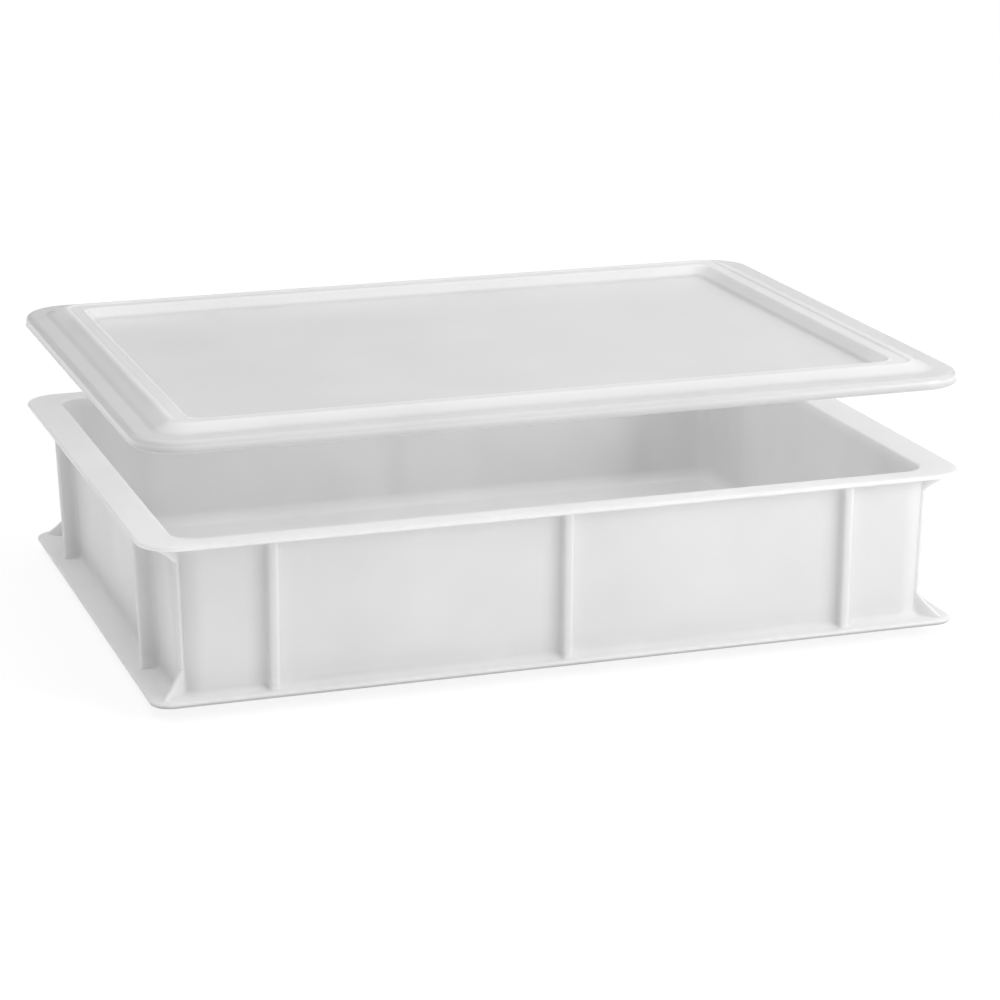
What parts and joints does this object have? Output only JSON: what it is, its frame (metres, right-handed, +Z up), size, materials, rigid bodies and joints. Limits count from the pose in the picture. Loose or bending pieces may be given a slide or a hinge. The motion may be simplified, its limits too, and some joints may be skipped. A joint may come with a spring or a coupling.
{
  "type": "dough proofing container",
  "caption": "Shallow rectangular stackable dough proofing tray with a flanged rim, ribbed walls, a base flange and a lift-off ridged lid.",
  "frame": {"origin": "middle of the tray's footprint, on the surface that the stacking foot stands on", "axes": "+Z up; +X along the tray's long side; the long front wall faces -Y"},
  "size_m": [0.4, 0.3, 0.1337],
  "materials": {
    "tray_plastic": "satin, as moulded",
    "lid_plastic": "satin, as moulded, a little glossier than the tray"
  },
  "bodies": {
    "tray": {"tray": "tray_plastic"},
    "lid": {"lid": "lid_plastic"}
  },
  "joints": [
    {"name": "lid_lift", "type": "slide", "parent": "tray", "child": "lid", "axis": [0, 0, 1], "range_m": [-0.0418, 0.06]}
  ]
}
